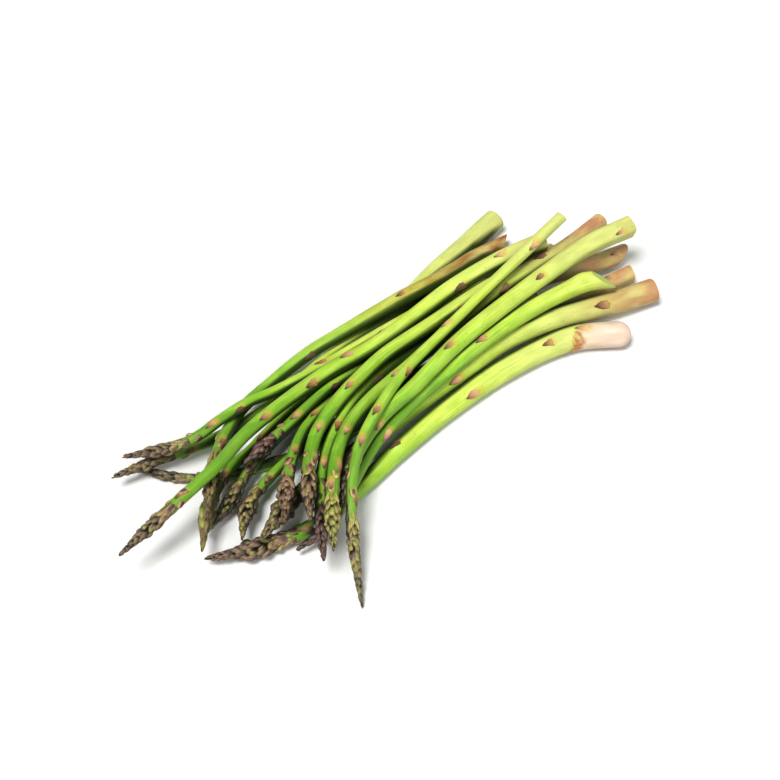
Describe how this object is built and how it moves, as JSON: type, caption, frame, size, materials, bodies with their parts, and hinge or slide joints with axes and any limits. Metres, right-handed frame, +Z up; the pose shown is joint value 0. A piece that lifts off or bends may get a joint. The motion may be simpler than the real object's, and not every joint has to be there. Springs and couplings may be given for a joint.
{
  "type": "bundle of asparagus",
  "caption": "Loose bunch of green asparagus spears lying on its side, pale cut ends together at one end and scaly purple-green tips fanned out at the other.",
  "frame": {"origin": "on the surface that the bunch lies on, under the middle of its outline seen from above", "axes": "+X along the bunch towards the cut ends, so the tips are at -X; +Y across the bunch, away from the curved-out side; +Z up"},
  "size_m": [0.3002, 0.1524, 0.0411],
  "materials": {
    "spear": "waxy satin plant skin, yellow-green on the stem, paler at the cut end and purple-brown on the scales"
  },
  "bodies": {
    "root": {"spear_01": "spear", "spear_02": "spear", "spear_03": "spear", "spear_04": "spear", "spear_05": "spear", "spear_06": "spear", "spear_07": "spear", "spear_08": "spear", "spear_09": "spear", "spear_10": "spear", "spear_11": "spear", "spear_12": "spear", "spear_13": "spear", "spear_14": "spear", "spear_15": "spear", "spear_16": "spear", "spear_17": "spear", "spear_18": "spear"}
  },
  "joints": []
}
